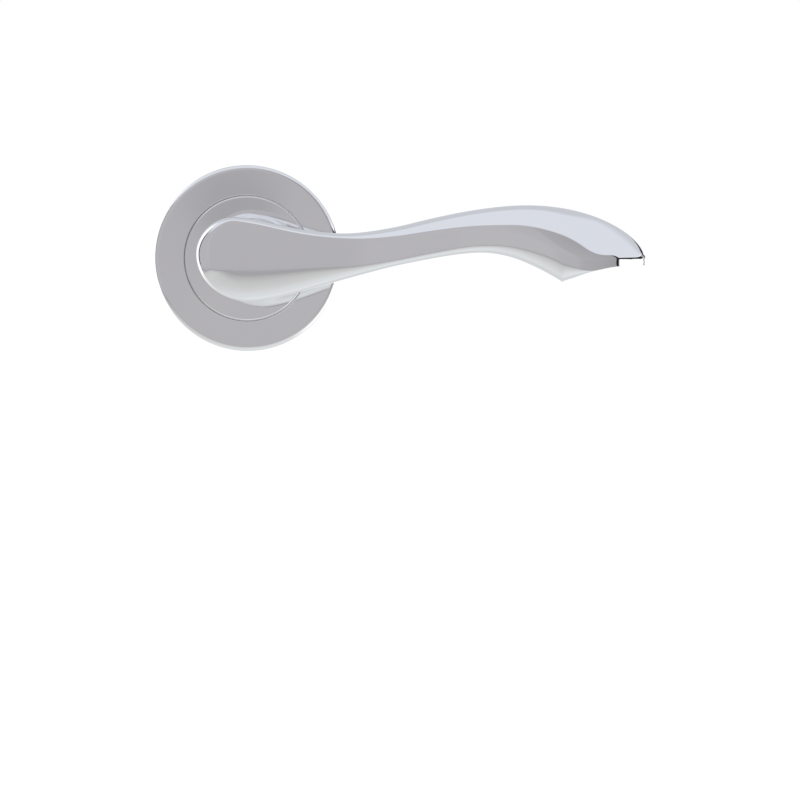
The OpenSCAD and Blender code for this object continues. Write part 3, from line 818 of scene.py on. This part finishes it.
def make_materials():
    return {
        "polished_chrome": polished_chrome(),
        "zinc_casting": metal("zinc_casting", (0.42, 0.43, 0.45), (0.54, 0.55, 0.57), (0.32, 0.55), 1100,
                              relief=0.00002),
        # Near-black metal for the collar's skirt: painted shade for the gap behind the cover
        "skirt_painted_shade": metal("skirt_painted_shade", (0.035, 0.035, 0.04), (0.06, 0.06, 0.065), (0.5, 0.7), 900,
                           metallic=0.5),
        "plated_steel": metal("plated_steel", (0.62, 0.65, 0.68), (0.72, 0.73, 0.70), (0.22, 0.38), 500,
                              stretch=(8, 1, 1)),
        "spring_steel": metal("spring_steel", (0.38, 0.38, 0.39), (0.50, 0.49, 0.47), (0.22, 0.36), 900,
                              stretch=(1, 1, 5)),
        "steel_pin": metal("steel_pin", (0.56, 0.57, 0.58), (0.64, 0.64, 0.65), (0.16, 0.28), 1200,
                           stretch=(1, 6, 1)),
        "blackened_steel": metal("blackened_steel", (0.030, 0.030, 0.034), (0.060, 0.058, 0.060),
                                 (0.35, 0.52), 900, metallic=0.7),
        "nylon": nylon(),
    }


def dress(materials, shown):
    """Gives each piece the material of its slot."""
    for piece, slot in shown:
        piece.data.materials.clear()
        piece.data.materials.append(materials[slot])


# ---------------------------------------------------------------- studio
# Brightness of the studio round the object by height angle, as (degrees, grey or colour)
SKY = (0.755, 0.78, 0.84)
GROUND = (0.82, 0.845, 0.855)
GREY_SIDE = [(-90, GROUND), (-45, (0.73, 0.745, 0.755)), (-28, 0.66), (-14, 0.58), (-8, 0.49),
             (-4.6, (0.395, 0.39, 0.40)), (-2.9, (0.405, 0.40, 0.415)), (-1.4, (0.475, 0.465, 0.485)),
             (3, (0.495, 0.485, 0.500)), (48, (0.485, 0.475, 0.500)), (50, SKY), (90, SKY)]
WHITE_SIDE = [(-90, GROUND), (-62, 0.80), (-50, 1.15), (19, 1.15), (23, SKY), (90, SKY)]
LEFT_SIDE = [(-90, GROUND), (-50, 0.74), (-30, 0.9), (-20, 1.15), (40, 1.15), (46, SKY), (90, SKY)]
BACK_SIDE = [(-90, GROUND), (-50, (0.68, 0.71, 0.72)), (-24, 0.72), (-18, 1.1), (6, 1.1),
             (9, (0.61, 0.63, 0.67)), (56, (0.61, 0.63, 0.67)), (64, SKY), (90, SKY)]
DARK = (0.012, 0.012, 0.018)
# What follows is in degrees, as (begins, full, full, ends). Azimuths run round the object, from 0 straight in
# front of it towards its right. First the grey side, then everything but the back one. What is neither grey
# nor back is the left side where the azimuth is below 0, and the white side where it is above
GREY_ROUND = (-97, -96, 48, 49)
FRONT_ROUND = (-150, -140, 125, 140)
# Dark upright lines
LEFT_LINE, RIGHT_LINE, LINE_HEIGHT = (-97, -95, -85, -84), (44, 45, 49, 50), (-16, -12, 40, 46)
FAR_LINE, FAR_HEIGHT = (142, 143, 154, 155), (-9, -8, 18, 20)
# A dark band low over the white side
LIP_ROUND, LIP_HEIGHT = (48, 49, 138, 140), (3, 5, 17, 19)
# The grey side is a little uneven, and darkens towards its right end
SHADE_HEIGHT = (-40, -12, 48, 50)
GREY_SHADE = [(-180, 1.02), (-20, 1.02), (-8.5, 1.05), (-5, 1.0), (0.5, 1.0), (4, 0.90),
              (25, 0.84), (44, 0.76), (180, 0.76)]
LEFT_DIP = 16                           # on its left the grey side reaches this much lower
SEEN_BY_CAMERA, SEEN_BY_MATT_PIECES = (1.0, 1.0, 1.0), (1.08, 1.08, 1.08)


def make_world():
    """A studio of tone bands and dark lines for the chrome to reflect. The camera itself sees plain white."""
    world = bpy.data.worlds.new("studio")
    bpy.context.scene.world = world
    world.use_nodes = True
    tree = world.node_tree
    tree.nodes.clear()
    nodes = Nodes(tree)
    direction = nodes.add("ShaderNodeSeparateXYZ")
    nodes.link(nodes.add("ShaderNodeTexCoord").outputs["Generated"], direction.inputs[0])
    x, y, z = direction.outputs
    height = nodes.math("MULTIPLY", nodes.math("ARCSINE", z), 180 / math.pi)
    azimuth = nodes.math("ARCTAN2", x, nodes.math("MULTIPLY", y, -1.0))
    azimuth = nodes.math("MULTIPLY", azimuth, 180 / math.pi)

    def up(limits):
        return nodes.band(height, 90, limits)

    def round_about(limits):
        return nodes.band(azimuth, 180, limits)

    white, left, back = (nodes.ramp(height, -90, 90, stops) for stops in (WHITE_SIDE, LEFT_SIDE, BACK_SIDE))
    white = nodes.mix(nodes.scaled(azimuth, (-1, 1), (0, 1)), left, white)
    white = nodes.mix(nodes.math("MULTIPLY", round_about(LIP_ROUND), up(LIP_HEIGHT)), white, DARK)
    dip = nodes.scaled(azimuth, (-50, -2), (LEFT_DIP, 0))
    grey = nodes.ramp(nodes.math("ADD", height, dip), -90, 90, GREY_SIDE)
    shaded = nodes.times(grey, nodes.ramp(azimuth, -180, 180, GREY_SHADE))
    grey = nodes.mix(up(SHADE_HEIGHT), grey, shaded)
    colour = nodes.mix(round_about(GREY_ROUND), nodes.mix(round_about(FRONT_ROUND), back, white), grey)
    lines = nodes.math("ADD", round_about(LEFT_LINE), round_about(RIGHT_LINE))
    colour = nodes.mix(nodes.math("MULTIPLY", lines, up(LINE_HEIGHT)), colour, DARK)
    colour = nodes.mix(nodes.math("MULTIPLY", round_about(FAR_LINE), up(FAR_HEIGHT)), colour, DARK)
    path = nodes.add("ShaderNodeLightPath")
    colour = nodes.mix(path.outputs["Is Diffuse Ray"], colour, SEEN_BY_MATT_PIECES)
    colour = nodes.mix(path.outputs["Is Camera Ray"], colour, SEEN_BY_CAMERA)
    background = nodes.add("ShaderNodeBackground")
    nodes.link(colour, background.inputs["Color"])
    nodes.link(background.outputs[0], nodes.add("ShaderNodeOutputWorld").inputs["Surface"])


def make_floor():
    """A plain pale floor, well below the handle."""
    bm = bmesh.new()
    bmesh.ops.create_circle(bm, cap_ends=True, segments=96, radius=12.0)
    mesh = bpy.data.meshes.new("studio_floor")
    bm.to_mesh(mesh)
    bm.free()
    floor = bpy.data.objects.new("studio_floor", mesh)
    floor.location = (0, 0, -0.40)
    bpy.context.scene.collection.objects.link(floor)
    material, nodes, shader = new_material("studio_floor")
    shader.inputs["Base Color"].default_value = (0.96, 0.96, 0.96, 1)
    shader.inputs["Roughness"].default_value = 0.9
    shader.inputs["Specular IOR Level"].default_value = 0.1
    floor.data.materials.append(material)
    floor.visible_glossy = False


def make_key_light():
    """One soft light above and to the left, for the matt pieces and the floor."""
    data = bpy.data.lights.new("soft_key", "AREA")
    data.shape = "RECTANGLE"
    data.size, data.size_y = 1.2, 0.9
    data.energy = 9.0
    light = bpy.data.objects.new("soft_key", data)
    light.location = (-0.5, -0.9, 1.2)
    light.rotation_euler = (Vector((0, 0, 0)) - light.location).to_track_quat("-Z", "Y").to_euler()
    light.visible_glossy = False
    bpy.context.scene.collection.objects.link(light)


# ---------------------------------------------------------------- everything together
def main():
    bpy.context.scene.view_settings.view_transform = "Standard"
    make_camera()
    make_world()
    make_floor()
    make_key_light()
    materials = make_materials()
    lever, cover, collar = make_lever(), make_rose_cover(), make_neck_collar()
    dress(materials, [(piece, "polished_chrome") for piece in (lever, cover, collar)])
    collar.data.materials.append(materials["skirt_painted_shade"])        # for its skirt: painted shade
    for part in frame["record"]["subparts"]:
        node = frame["nodes"][part["node"]]
        dress(materials, [(node, part["material_slot"])])


main()
